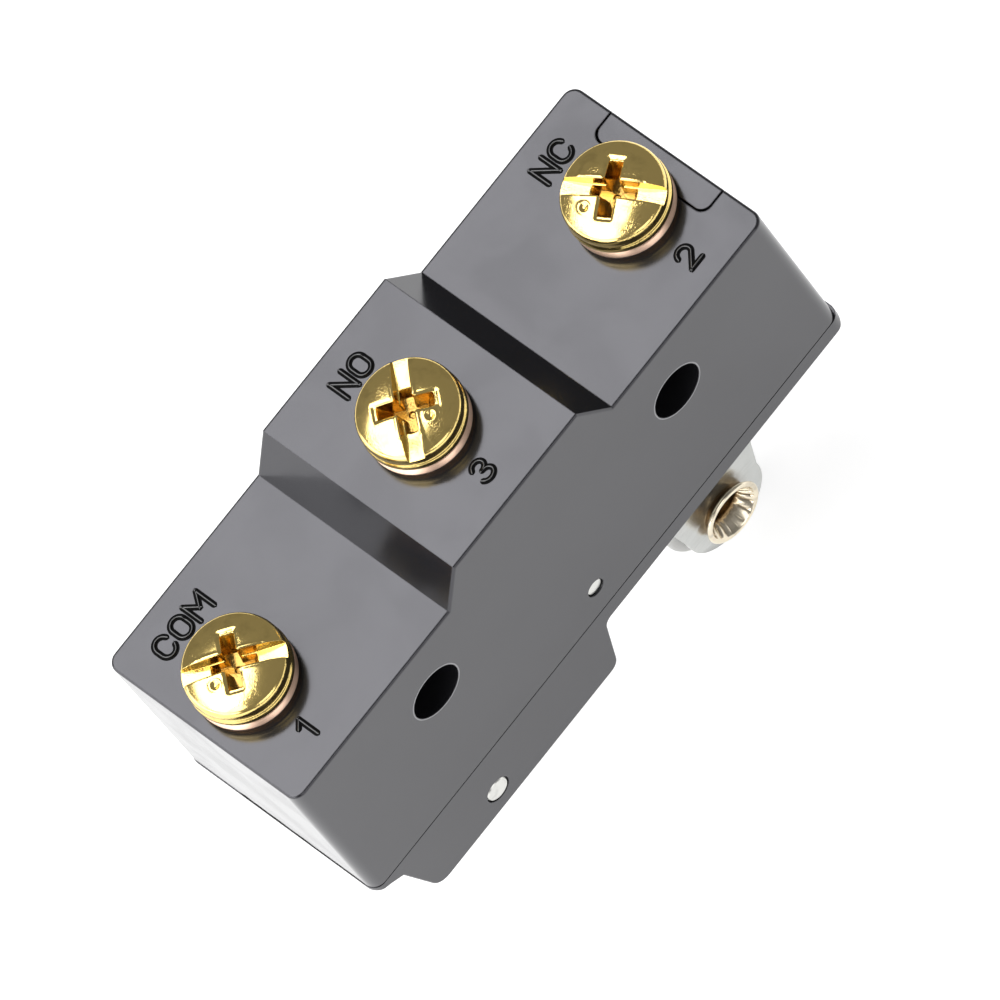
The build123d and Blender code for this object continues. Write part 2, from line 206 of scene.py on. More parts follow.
class Painter:
    """Builds one material: a Principled BSDF and what feeds it."""

    def __init__(self, name):
        self.material = bpy.data.materials.new(name)
        self.material.use_nodes = True
        self.tree = self.material.node_tree
        self.tree.nodes.clear()
        self.surface = self.node("ShaderNodeBsdfPrincipled")
        self.out = self.node("ShaderNodeOutputMaterial",
                             values={"Surface": self.surface.outputs[0]})
        self.place = self.node("ShaderNodeTexCoord").outputs["Object"]

    def node(self, kind, settings=None, values=None):
        """Add a node, set its settings, then the values or links of its sockets."""
        made = self.tree.nodes.new(kind)
        for key, setting in (settings or {}).items():
            setattr(made, key, setting)
        for key, value in (values or {}).items():
            self.feed(made.inputs[key], value)
        return made

    def feed(self, target, value):
        """Link a socket or a Sum to an input, or set the input to a constant."""
        if isinstance(value, Sum):
            value = value.socket
        if isinstance(value, bpy.types.NodeSocket):
            self.tree.links.new(value, target)
        elif isinstance(value, tuple) and target.type == "RGBA":
            target.default_value = (*value, 1.0)
        else:
            target.default_value = value

    def set(self, **sockets):
        """Set the shader's own sockets; an underscore stands for a space."""
        for key, value in sockets.items():
            self.feed(self.surface.inputs[key.replace("_", " ")], value)

    def stretched(self, x=1.0, y=1.0, z=1.0, turn=(0.0, 0.0, 0.0)):
        """Object coordinates in millimetres, scaled along each axis after a turn."""
        made = self.node("ShaderNodeMapping", {"vector_type": "POINT"}, {
            "Vector": self.place, "Rotation": turn,
            "Scale": (x / MM, y / MM, z / MM)})
        return made.outputs[0]

    def noise(self, scale, detail, vector=None, distortion=0.0):
        """Noise from 0 to 1, whose scale counts its cells in a millimetre."""
        made = self.node("ShaderNodeTexNoise", values={
            "Vector": vector or self.stretched(), "Scale": scale, "Detail": detail,
            "Roughness": 0.55, "Distortion": distortion})
        return Sum(self, made.outputs["Fac"])

    def axis(self, index):
        """The object's own x, y or z in millimetres."""
        made = self.node("ShaderNodeSeparateXYZ", values={0: self.stretched()})
        return Sum(self, made.outputs[index])

    def mix(self, amount, first, second):
        """Colour that goes from first to second as amount goes from 0 to 1."""
        made = self.node("ShaderNodeMix", {"data_type": "RGBA"}, {
            "Factor": amount, 6: first, 7: second})
        return made.outputs[2]

    def edges(self, radius):
        """1 at sharp edges and 0 on flats: how far a rounded normal leaves the true one."""
        true = self.node("ShaderNodeNewGeometry").outputs["True Normal"]
        dot = self.node("ShaderNodeVectorMath", {"operation": "DOT_PRODUCT"},
                        {0: self.rounded(radius), 1: true})
        return (1.0 - Sum(self, dot.outputs["Value"])).ramp(0.02, 0.25)

    def recess(self):
        """How deep the surface lies, from 0 to 1, as the mesh states it; the plated finish paints
        shade by it.
        """
        made = self.node("ShaderNodeAttribute", {"attribute_name": "recess"})
        return Sum(self, made.outputs["Fac"])

    def bump(self, height, strength, distance, normal):
        return self.node("ShaderNodeBump", values={
            "Height": height, "Strength": strength, "Distance": distance * MM,
            "Normal": normal}).outputs[0]

    def rounded(self, radius):
        """The normal as it would be with the edges rounded."""
        return self.node("ShaderNodeBevel", {"samples": BEVEL_SAMPLES},
                         {"Radius": radius * MM}).outputs[0]


def moulding(settings):
    """Dark thermosetting moulding: glossy, faintly clouded, with fine flow marks."""
    p = Painter("moulding")
    colour = tuple(settings.colour)
    cloud = p.noise(0.16, 4.0, distortion=0.6).ramp(0.38, 0.66)
    flow = p.noise(0.5, 3.0, p.stretched(0.35, 1.4, 1.0, (0.0, 0.0, 0.4)))
    speck = p.noise(9.0, 2.0)
    edge = p.edges(0.16)
    # Partly edge wear, partly painted highlight: sharp edges turn paler.
    edge_wear_and_highlight = tuple(min(1.0, c * 1.7 + 0.01) for c in colour)
    deep = tuple(c * 0.75 for c in colour)
    tone = p.mix(edge * 0.3, p.mix(cloud, colour, deep), edge_wear_and_highlight)
    # Painted highlight: a pale grey ring round the rim of each mounting hole.
    from_hole = (p.axis(0).absolute() - HOLE_INSET) ** 2.0 + p.axis(2) ** 2.0
    rim = from_hole.ramp((HOLE_RADIUS + 0.005) ** 2, (HOLE_RADIUS + 0.03) ** 2) \
        * from_hole.ramp((HOLE_RADIUS + 0.14) ** 2, (HOLE_RADIUS + 0.09) ** 2)
    tone = p.mix(rim, tone, (0.30, 0.30, 0.31))
    p.set(Base_Color=tone, IOR=1.64, Specular_Tint=(0.94, 0.935, 1.0),
          Roughness=settings.gloss - 0.02 + cloud * 0.05 + (speck - 0.5) * 0.04 + edge * 0.08)
    p.set(Normal=p.bump(flow * 0.8 + speck * 0.12, 0.035, 0.05, p.rounded(0.10)))
    return p.material


def letter_moulding(settings):
    """The case's material on the letters' strokes, a little paler where they are rubbed."""
    p = Painter("letter_moulding")
    colour = tuple(settings.colour)
    rubbed = p.noise(1.4, 3.0).ramp(0.45, 0.7)
    p.set(Base_Color=p.mix(rubbed, colour, tuple(c * 1.5 for c in colour)),
          IOR=1.64, Roughness=settings.gloss + 0.05 + rubbed * 0.08)
    return p.material


def letter_foot():
    """The shaded foot round each stroke: dull and almost black."""
    p = Painter("letter_foot")
    dust = p.noise(3.0, 3.0)
    p.set(Base_Color=p.mix(dust.ramp(0.4, 0.8), (0.002, 0.002, 0.002), (0.007, 0.007, 0.008)),
          Roughness=0.75 + dust * 0.2)
    p.set(Specular_IOR_Level=0.12)
    return p.material


def plated(name, colour, roughness, wear, grain, pitting=0.0):
    """Bright plating: fine dulling, handling marks, thin rubbed edges and painted shade in
    recesses.
    pitting adds patches of small pits."""
    p = Painter(name)
    colour = tuple(colour)
    cloud = p.noise(0.9, 4.0, distortion=0.4)
    fine = p.noise(14.0, 2.0)
    marks = p.noise(1.0, 3.0, p.stretched(9.0, 1.1, 3.0, (0.3, 0.2, 0.7))).ramp(0.62, 0.80)
    edge = p.edges(0.08)
    worn = tuple(c * 0.62 for c in colour)
    tone = p.mix(cloud.ramp(0.45, 0.75) * wear, colour, worn)
    tone = p.mix(edge * 0.35, tone, tuple(min(1.0, c * 1.25 + 0.05) for c in colour))
    # Painted shade: the colour turns a deep brown where the mesh's recess number is high.
    tone = p.mix(p.recess(), tone, (colour[0] * 0.42, colour[1] * 0.34, colour[2] * 0.26))
    p.set(Base_Color=tone, Metallic=1.0,
          Roughness=roughness + (fine - 0.5) * 0.10 + cloud * 0.08 + marks * 0.12 * wear)
    height = fine * 0.4 + marks * 0.3 + cloud * grain
    if pitting:
        patches = p.noise(0.8, 1.0).ramp(0.42, 0.62)
        height = height + p.noise(8.0, 1.0).ramp(0.50, 0.68) * patches * pitting
    p.set(Normal=p.bump(height, 0.12, 0.02, p.rounded(0.05)))
    return p.material


def brushed_steel(name, colour):
    """Rolled stainless sheet: fine lines along the strip, and bright sheared edges."""
    p = Painter(name)
    colour = tuple(colour)
    lines = p.noise(1.6, 4.0, p.stretched(0.4, 9.0, 9.0))
    cloud = p.noise(0.5, 3.0)
    edge = p.edges(0.10)
    tone = p.mix(lines.ramp(0.35, 0.7) * 0.5, colour, tuple(c * 0.78 for c in colour))
    tone = p.mix(edge * 0.5, tone, tuple(min(1.0, c * 1.2) for c in colour))
    p.set(Base_Color=tone, Metallic=0.92, Roughness=0.15 + lines * 0.12 + cloud * 0.06)
    p.set(Normal=p.bump(lines + cloud * 0.3, 0.14, 0.02, p.rounded(0.08)))
    return p.material


def nylon(name, colour):
    """White nylon, turned: faint rings and a soft sheen."""
    p = Painter(name)
    grain = p.noise(5.0, 3.0)
    rings = p.noise(1.0, 2.0, p.stretched(0.6, 14.0, 0.6))
    tone = p.mix(grain.ramp(0.4, 0.8) * 0.35, colour, tuple(c * 0.86 for c in colour))
    p.set(Base_Color=tone, Roughness=0.42 + rings * 0.12, IOR=1.53)
    p.set(Normal=p.bump(rings + grain * 0.4, 0.10, 0.03, p.rounded(0.10)))
    return p.material


def plunger_moulding():
    """Dull red moulding, faintly clouded."""
    p = Painter("plunger_moulding")
    grain = p.noise(4.0, 3.0)
    p.set(Base_Color=p.mix(grain.ramp(0.4, 0.75), (0.20, 0.026, 0.018),
                           (0.12, 0.016, 0.012)),
          Roughness=0.34 + grain * 0.15)
    p.set(Normal=p.bump(grain, 0.12, 0.03, p.rounded(0.1)))
    return p.material


def glowing(painter, plain, glow, strength):
    """A shader that adds a glow for the camera and in reflections, and keeps shadows."""
    path = painter.node("ShaderNodeLightPath")
    seen = Sum(painter, path.outputs["Is Camera Ray"]) \
        + Sum(painter, path.outputs["Is Glossy Ray"]) \
        + Sum(painter, path.outputs["Is Transmission Ray"])
    light = painter.node("ShaderNodeEmission", values={"Color": glow, "Strength": strength})
    both = painter.node("ShaderNodeAddShader", values={0: plain, 1: light.outputs[0]})
    mixed = painter.node("ShaderNodeMixShader",
                         values={0: seen.ramp(0.0, 1.0), 1: plain, 2: both.outputs[0]})
    return mixed.outputs[0]


# Meshes

def mesh_object(name, points, faces, material, sharp, recess=None):
    """Make an object from points in millimetres, with soft shading up to an angle. recess, if
    given, is a number at each point, 1 where the surface lies deep, for painted shade."""
    mesh = bpy.data.meshes.new(name)
    mesh.from_pydata((np.asarray(points, float) * MM).tolist(), [], faces)
    mesh.update()
    if recess is not None:
        layer = mesh.attributes.new("recess", "FLOAT", "POINT")
        layer.data.foreach_set("value", np.asarray(recess, np.float32))
    made = bpy.data.objects.new(name, mesh)
    bpy.context.scene.collection.objects.link(made)
    mesh.materials.append(material)
    mesh.shade_smooth()
    mesh.set_sharp_from_angle(angle=math.radians(sharp))
    return made


def grid_faces(rows, columns, wrap=False, flip=False):
    """Quads of a grid of points laid row by row; wrap closes it along the columns."""
    row = np.arange(rows - 1)[:, None]
    column = np.arange(columns if wrap else columns - 1)[None, :]
    after = (column + 1) % columns
    corners = [row * columns + column, row * columns + after,
               (row + 1) * columns + after, (row + 1) * columns + column]
    if flip:
        corners.reverse()
    quads = np.stack([c + 0 * row for c in corners], axis=-1).reshape(-1, 4)
    return quads.tolist()


def finish_piece(made, body, material_slot, *stands_for):
    """Put a piece on its body, in place of the CAD nodes that it stands for. material_slot
    is not used.
    """
    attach(made, body)
    if stands_for:
        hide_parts(*stands_for)


def dress_node(node, material):
    """Give a CAD node its material, and soft shading up to its sharp edges."""
    mesh = NODES[node].data
    mesh.materials.clear()
    mesh.materials.append(material)
    mesh.shade_smooth()
    mesh.set_sharp_from_angle(angle=math.radians(25))


def bevelled_copy(node, name, material, width):
    """A merged copy of a CAD node's mesh, with its sharp edges rounded by a bevel."""
    work = bmesh.new()
    work.from_mesh(NODES[node].data)
    bmesh.ops.remove_doubles(work, verts=work.verts, dist=1e-6)
    bmesh.ops.dissolve_limit(work, angle_limit=math.radians(1.0), verts=work.verts,
                             edges=work.edges)
    mesh = bpy.data.meshes.new(name)
    work.to_mesh(mesh)
    work.free()
    made = bpy.data.objects.new(name, mesh)
    bpy.context.scene.collection.objects.link(made)
    mesh.materials.append(material)
    mesh.shade_smooth()
    bevel = made.modifiers.new("rounded edges", "BEVEL")
    bevel.width = width * MM
    bevel.segments = 2
    bevel.limit_method = "ANGLE"
    bevel.angle_limit = math.radians(40)
    bevel.harden_normals = True
    return made


# Screws

HEAD_RADIUS = 3.775
HEAD_TOP = 2.28         # heights count from the washer
RIM_TOP = 1.25
CROWN_SAG = 0.55
CROWN_POWER = 2.4
SHOULDER_WIDTH = 0.24
SHOULDER_LEAN = 22      # degrees
SIDE_DRAFT = 0.08
SIDE_FOOT = 0.22
GROOVE_DEPTH = 0.15
GROOVE_HEIGHT = 0.76
GROOVE_WIDTH = 0.20
SLOT_DEPTH = 1.02
ARM_REACH = 2.15
ARM_HALF = 0.50
WALL = 0.07             # across a slot's or arm's steep side
ROLL_WIDTH = 0.30       # the rounding beside the cross
ROLL_DEPTH = 0.13
RECESS_TAPER = 2.0
RECESS_DEPTH = 1.80
CONE_DEPTH = 1.95
CONE_SLOPE = 2.7
CONE_FLAT = 0.18
SHAFT_RADIUS = 2.0
THREAD_ROWS = 12        # a turn
THREAD_FADE = 0.9       # below the head, where the thread runs out
THREAD_LEAD = 0.6       # above the tip, where it starts
TIP_LENGTH = 0.45
SECTOR_COLUMNS = 14     # between the slot and a cross arm
BURR_RISE = 0.055       # the burr is a ring round a small pit
BURR_RADIUS = 0.38
BURR_WIDTH = 0.10
PIT_DEPTH = 0.16
PIT_WIDTH = 0.24


def head_columns(radius, half_slot):
    """Angles of the columns at each radius. They crowd to the straight sides of the slot
    and of the cross arms: a side at distance d from the middle lies at asin(d / radius).
    Near the middle the sines stop at a limit each, so that the columns keep their order."""
    side = np.arcsin(np.clip(half_slot / radius, 0, 0.766))
    arm = np.arcsin(np.clip(ARM_HALF / radius, 0, 0.643))
    slot_in = np.arcsin(np.clip((half_slot - WALL) / radius, 0, 0.70))
    arm_in = np.arcsin(np.clip((ARM_HALF - WALL) / radius, 0, 0.58))
    quarter = math.pi / 2
    stops = []
    for turn in range(2):
        base = turn * math.pi
        stops += [base - side, base - slot_in, base + slot_in, base + side,
                  base + quarter - arm, base + quarter - arm_in,
                  base + quarter + arm_in, base + quarter + arm]
    counts = [1, SECTOR_COLUMNS, 1, SECTOR_COLUMNS + 6] * 4
    stops.append(stops[0] + 2 * math.pi)
    angles = []
    for index, count in enumerate(counts):
        share = np.arange(count)[None, :] / count
        first, last = stops[index][:, None], stops[index + 1][:, None]
        angles.append(first + (last - first) * share)
    return np.concatenate(angles, axis=1)


def screw_surface(centre, seat_z, foot_z, slot_angle, burr, settings):
    """A whole screw as one surface of two parameters, row and column. The rows run from the
    middle of the head to its rim, down its side, in below it, down the thread and in at the
    tip. The crown sags by a power of the radius; the slot, the cross arms and a middle cone are
    carved by taking the lowest of their heights. The side has a groove as deep as a bell
    curve of height. The thread's radius falls and rises with height over pitch less angle
    over a turn."""
    half_slot = settings.slot_width / MM / 2
    pitch = settings.thread_pitch / MM
    depth = settings.thread_depth / MM

    crown_radius = HEAD_RADIUS - SIDE_DRAFT - SHOULDER_WIDTH
    inner = np.concatenate([np.linspace(0.02, 0.9, 12), np.linspace(0.98, ARM_REACH - 0.06, 22),
                            np.linspace(ARM_REACH, ARM_REACH + 0.12, 4),
                            np.linspace(ARM_REACH + 0.2, crown_radius, 16)])
    crown = HEAD_TOP - CROWN_SAG * (inner / crown_radius) ** CROWN_POWER
    lean = math.radians(SHOULDER_LEAN)
    bend = np.linspace(lean, math.pi / 2, 11)[1:]
    rim_start = HEAD_TOP - CROWN_SAG
    rim = crown_radius + SHOULDER_WIDTH * (np.sin(bend) - math.sin(lean)) / (1 - math.sin(lean))
    rim_z = rim_start \
        - (math.cos(lean) - np.cos(bend)) / math.cos(lean) * (rim_start - RIM_TOP)
    side_z = np.linspace(RIM_TOP, SIDE_FOOT, 21)[1:]
    side = HEAD_RADIUS - SIDE_DRAFT * (np.clip(side_z - 0.4, 0, None) / (RIM_TOP - 0.4)) ** 2
    side -= GROOVE_DEPTH * np.exp(-((side_z - GROOVE_HEIGHT) / GROOVE_WIDTH) ** 2)
    under = np.array([HEAD_RADIUS - 0.04, HEAD_RADIUS - 0.20, 3.2, 2.6, SHAFT_RADIUS + 0.02])
    under_z = np.array([0.08, 0.0, 0.0, 0.0, 0.0])
    count = int((seat_z - foot_z) / pitch * THREAD_ROWS)
    shaft = np.full(count, SHAFT_RADIUS)
    shaft_z = np.linspace(-0.02, foot_z - seat_z + TIP_LENGTH, count)
    tip = np.array([SHAFT_RADIUS - 0.35, SHAFT_RADIUS - 0.5, 1.0, 0.02])
    tip_z = foot_z - seat_z + np.array([0.15, 0.0, 0.0, 0.0])
    radius = np.concatenate([inner, rim, side, under, shaft, tip])
    height = np.concatenate([crown, rim_z, side_z, under_z, shaft_z, tip_z])

    angle = head_columns(radius, half_slot)
    columns = angle.shape[1]
    radius = np.repeat(radius[:, None], columns, axis=1)
    height = np.repeat(height[:, None], columns, axis=1)

    first = len(inner) + len(rim) + len(side) + len(under)
    rows = slice(first, first + count)
    phase = height[rows] / pitch - angle[rows] / (2 * math.pi)
    groove = np.abs((phase % 1.0) * 2 - 1)
    fade = np.clip(-height[rows] / THREAD_FADE, 0, 1)
    lead = np.clip((height[rows] - shaft_z[-1]) / THREAD_LEAD, 0, 1)
    radius[rows] -= depth * (groove * fade + (1 - groove * fade) * (1 - lead) * 0.8)

    along = radius * np.cos(angle)
    across = radius * np.sin(angle)
    top = slice(0, len(inner) + len(rim))
    u, v, h = along[top], across[top], height[top]

    def walled(distance, half):
        """1 inside a channel and 0 outside, over the width of its wall."""
        return np.clip((half - np.abs(distance)) / WALL, 0, 1)

    beside = np.minimum(
        np.maximum(np.abs(u) - ARM_HALF, np.abs(v) - ARM_REACH),
        np.maximum(np.abs(v) - ARM_HALF, np.abs(u) - ARM_REACH))
    h = h - ROLL_DEPTH * np.clip(1 - beside / ROLL_WIDTH, 0, 1) ** 2
    slot_floor = HEAD_TOP - SLOT_DEPTH + 0.03 * np.cos(u * 1.9)
    lip = 0.05 * np.exp(-((np.abs(v) - half_slot - 0.12) / 0.12) ** 2)
    h = h + lip * (radius[top] < crown_radius)
    carved = h + (np.minimum(slot_floor, h) - h) * walled(v, half_slot)

    def tapered(distance):
        """Floor of a cross arm: steep up to its end, never below the recess's foot."""
        return HEAD_TOP - np.clip(RECESS_TAPER * (ARM_REACH - np.abs(distance)), 0, RECESS_DEPTH)

    arms = h + (np.minimum(tapered(v), h) - h) * walled(u, ARM_HALF)
    longs = h + (np.minimum(tapered(u), h) - h) * walled(v, ARM_HALF)
    cone = HEAD_TOP - CONE_DEPTH + CONE_SLOPE * np.maximum(radius[top] - CONE_FLAT, 0)
    height[top] = np.minimum.reduce([carved, arms, longs, cone, h])
    # Painted shade: the recess number is 1 deep in the cross arms and the middle cone, and
    # darkens the gilt there.
    recess = np.zeros(height.shape)
    recess[top] = np.clip((h - height[top] - SLOT_DEPTH - 0.10) / 0.30, 0, 1)

    turn = math.radians(slot_angle)
    x = along * math.cos(turn) - across * math.sin(turn)
    y = along * math.sin(turn) + across * math.cos(turn)
    distance = np.hypot(x[top] - burr[0], y[top] - burr[1])
    height[top] += BURR_RISE * np.exp(-((distance - BURR_RADIUS) / BURR_WIDTH) ** 2) \
        - PIT_DEPTH * np.exp(-(distance / PIT_WIDTH) ** 2)

    points = np.stack([x + centre[0], y + centre[1], height + seat_z], axis=-1).reshape(-1, 3)
    rows_total = angle.shape[0]
    faces = grid_faces(rows_total, columns, wrap=True, flip=True)
    first_ring = list(range(columns))
    last_ring = list(range((rows_total - 1) * columns, rows_total * columns))
    points = np.vstack([points, [centre[0], centre[1], height[0].mean() + seat_z],
                        [centre[0], centre[1], foot_z]])
    middle, end = len(points) - 2, len(points) - 1
    faces += [[middle, first_ring[i], first_ring[(i + 1) % columns]] for i in range(columns)]
    faces += [[end, last_ring[(i + 1) % columns], last_ring[i]] for i in range(columns)]
    return points, faces, np.append(recess, [1, 0])


def ring_surface(profile, origin, axis="z", segments=96, wave=None):
    """A profile of (radius, height) pairs carried round an axis, as a closed ring. wave, if
    given, makes new radii and heights from those of the points, their angles and rows."""
    profile = np.asarray(profile, float)
    angle = np.linspace(0, 2 * math.pi, segments, endpoint=False)
    radius = np.repeat(profile[:, 0][:, None], segments, axis=1)
    height = np.repeat(profile[:, 1][:, None], segments, axis=1)
    turn = np.repeat(angle[None, :], len(profile), axis=0)
    if wave is not None:
        row = np.repeat(np.arange(len(profile))[:, None], segments, axis=1)
        radius, height = wave(radius, height, turn, row)
    flat = [radius * np.cos(turn), radius * np.sin(turn), height]
    if axis == "y":
        flat = [flat[0], height, -flat[1]]
    points = np.stack(flat, axis=-1).reshape(-1, 3) + np.asarray(origin, float)
    rows = len(profile)
    faces = grid_faces(rows, segments, wrap=True)
    last = (rows - 1) * segments
    column = np.arange(segments)
    after = (column + 1) % segments
    closing = np.stack([last + column, last + after, after, column], axis=-1)
    return points, faces + closing.tolist()


def seam_shade_surface(start, end, half_width, depth, fading, rate):
    """Painted shade of the uneven gap along a seam: a flat tube from start to end, whose half
    width is half_width times a fade along it times 0.5 + 0.5 |sum of sines|, no more than 1,
    and nought at its ends."""
    start, end = np.asarray(start, float), np.asarray(end, float)
    length = np.linalg.norm(end - start)
    share = np.linspace(0, 1, int(length * 14))[:, None]
    along = share * length * rate
    uneven = np.abs(np.sin(2.3 * along) + 0.7 * np.sin(6.1 * along + 1)
                    + 0.5 * np.sin(13 * along))
    width = half_width * (0.5 + 0.5 * np.clip(uneven, 0, 1)) * (1 - share) ** fading
    width = width * np.clip(share * length / 0.5, 0, 1)
    turn = np.linspace(0, 2 * math.pi, 10, endpoint=False)[None, :]
    outward = np.cross((end - start) / length, (0, 0, 1.0))
    points = (start + (end - start) * share)[:, None, :] \
        + (width * np.cos(turn))[..., None] * np.array([0, 0, 1.0]) \
        + (depth * np.clip(width / half_width, 0, 1) * np.sin(turn))[..., None] * outward
    return points.reshape(-1, 3), grid_faces(len(share), 10, wrap=True)


def rounded_profile(corners, radius, steps):
    """A closed profile whose corners are rounded by parabolas. Each starts and ends on the
    corner's two sides, a radius from it, or nearer where a side is short."""
    corners = np.asarray(corners, float)
    out = []
    for index, corner in enumerate(corners):
        before = corners[index - 1] - corner
        after = corners[(index + 1) % len(corners)] - corner
        reach = min(radius, 0.45 * np.linalg.norm(before), 0.45 * np.linalg.norm(after))
        start = corner + before / np.linalg.norm(before) * reach
        end = corner + after / np.linalg.norm(after) * reach
        for share in np.linspace(0, 1, steps + 1):
            out.append((1 - share) ** 2 * start + 2 * share * (1 - share) * corner
                       + share ** 2 * end)
    return np.array(out)


# Rivet

RIVET_SHANK = 1.9
RIVET_BORE = 1.30
RIVET_MOUTH = 2.02
RIVET_COLUMNS = 300
MOUTH_ROWS = 22
LIP_MIDDLE = 2.235      # radius of the middle of the rolled lip
LIP_HALF = 0.215
LIP_HEIGHT = 0.17
FOLD_DEPTH = 0.36
FOLD_PINCH = 0.05


def folds(radius, turn, row):
    """How deep the mouth's folds lie, from 0 to 1: rays where a sine of the turn, whose
    phase two slower sines make uneven, crosses nought. There are none at the bore and at the
    rolled lip, and two bell curves of the turn leave smooth stretches."""
    reach = np.clip((radius - RIVET_BORE - 0.02) / 0.25, 0, 1) \
        * np.clip((RIVET_MOUTH + 0.06 - radius) / 0.16, 0, 1) * (row < MOUTH_ROWS)
    ray = np.abs(np.sin(10.5 * turn + 1.5 * np.sin(turn + 0.4) + 1.1 * np.sin(3 * turn)))
    smooth = 0.85 * np.exp(-((turn - 1.75) / 0.50) ** 2) \
        + 0.5 * np.exp(-((turn - 4.7) / 0.8) ** 2)
    return reach * (1 - smooth) * (1 - ray ** 0.38)


def rivet_surface(centre, front, ear, back):
    """The hollow rivet: a profile of (radius, y) pairs carried round the roller's axis. The
    profile runs out of the bore along a flare, round the rolled lip, back along the tube, and
    round the flange behind; the mouth's points move in by its folds."""
    bore, mouth, shank = RIVET_BORE, RIVET_MOUTH, RIVET_SHANK
    throat = ear + 0.5
    inner = [(bore + (mouth - bore) * s ** 1.5, throat + (front + 0.12 - throat) * s)
             for s in np.linspace(0, 1, MOUTH_ROWS)]
    roll = np.linspace(math.pi, -0.35 * math.pi, 10)[1:]
    lip = [(LIP_MIDDLE + LIP_HALF * math.cos(t),
            front + LIP_HEIGHT - LIP_HEIGHT * math.sin(t)) for t in roll]
    tube = [(shank + (2.26 - shank) * s ** 1.6, ear + (front + 0.42 - ear) * s)
            for s in np.linspace(1, 0, 10)]
    flange = [(shank, -ear), (2.0, -ear + 0.02), (2.55, -ear + 0.06), (2.6, -ear + 0.2),
              (2.5, -ear + 0.34), (2.1, back), (bore + 0.15, back - 0.05), (bore, back - 0.3)]
    profile = np.array(inner + lip + tube + flange)

    def cracks(radius, height, turn, row):
        """The profile's points moved by the folds, inwards and into the tube."""
        depth = folds(radius, turn, row)
        return radius - FOLD_PINCH * depth, height + FOLD_DEPTH * depth

    points, faces = ring_surface(profile, (centre[0], 0, centre[2]), "y", RIVET_COLUMNS, cracks)
    turn = np.linspace(0, 2 * math.pi, RIVET_COLUMNS, endpoint=False)[None, :]
    row = np.arange(len(profile))[:, None]
    # Painted shade: the recess number darkens the folds' cracks, the throat of the bore and the
    # tube under the rolled lip.
    recess = np.clip(1.3 * folds(profile[:, :1], turn, row), 0, 0.9)
    recess = np.maximum(recess, 0.95 * np.clip(1.4 - row / 9, 0, 1))
    under_lip = len(inner) + len(lip)
    recess[under_lip:under_lip + len(tube)] = 1.0
    return points, faces, recess.ravel()


# Washers and roller

WASHER_BORE = 2.15
WASHER_DISH = 0.30      # how far the bore's lower edge stands above the rim's
ROLLER_PLAY = 0.05
HUB_RISE = 0.12
HUB_INSET = 1.4         # from the rim to the hub's edge, and to the foot of its step
STEP_INSET = 1.15


def washer_surface(centre, outer, bottom, top):
    """A dished washer, hollow below and grooved round its side: a rounded profile carried
    round z."""
    groove = bottom + 0.42 * (top - bottom)
    profile = rounded_profile([
        (WASHER_BORE, bottom + WASHER_DISH), (3.0, bottom), (outer - 0.04, bottom),
        (outer, bottom + 0.06), (outer - 0.26, groove - 0.02), (outer - 0.34, groove),
        (outer - 0.22, groove + 0.03), (outer - 0.52, top - 0.02),
        (outer - 0.72, top), (WASHER_BORE, top)], 0.10, 3)
    return ring_surface(profile, (centre[0], centre[1], 0))


def roller_surface(centre, rim, front, back):
    """The roller, a wheel whose hub stands out a little on both sides: a rounded profile
    carried round y."""
    hub = RIVET_SHANK + ROLLER_PLAY
    profile = rounded_profile([
        (hub, front), (rim - HUB_INSET, front), (rim - STEP_INSET, front + HUB_RISE),
        (rim, front + HUB_RISE), (rim, back - HUB_RISE), (rim - STEP_INSET, back - HUB_RISE),
        (rim - HUB_INSET, back), (hub, back)][::-1], 0.35, 5)
    return ring_surface(profile, (centre[0], 0, centre[2]), "y", 128)


# Lettering

FOOT_WIDTH = 0.15
ARC_POINTS = 14


def arc_path(centre, size, start, end):
    """Points of an ellipse's arc, in degrees anticlockwise."""
    angle = np.radians(np.linspace(start, end, ARC_POINTS))
    return [(centre[0] + size[0] * math.cos(a), centre[1] + size[1] * math.sin(a))
            for a in angle]


def glyphs():
    """Strokes of each letter, in a box one high; each stroke is a list of points."""
    round_c = arc_path((0.36, 0.64), (0.36, 0.36), 20, 180) \
        + arc_path((0.36, 0.36), (0.36, 0.36), 180, 340)
    loop = arc_path((0.36, 0.66), (0.36, 0.34), 0, 180) \
        + arc_path((0.36, 0.34), (0.36, 0.34), 180, 360) + [(0.72, 0.66)]
    two = arc_path((0.33, 0.70), (0.33, 0.30), 170, -25) + [(0.02, 0.0)]
    three = arc_path((0.32, 0.755), (0.30, 0.245), 160, -90)
    three_low = arc_path((0.32, 0.255), (0.34, 0.255), 90, -160)
    return {
        "C": (0.72, [round_c]),
        "O": (0.72, [loop]),
        "M": (0.84, [[(0, 0), (0, 1)], [(0, 1), (0.42, 0.42)], [(0.42, 0.42), (0.84, 1)],
                     [(0.84, 1), (0.84, 0)]]),
        "N": (0.70, [[(0, 0), (0, 1)], [(0, 1), (0.70, 0)], [(0.70, 0), (0.70, 1)]]),
        "1": (0.34, [[(0.0, 0.74), (0.30, 1.0)], [(0.30, 1.0), (0.30, 0.0)]]),
        "2": (0.66, [two, [(0.02, 0.0), (0.66, 0.0)]]),
        "3": (0.66, [three, three_low]),
    }


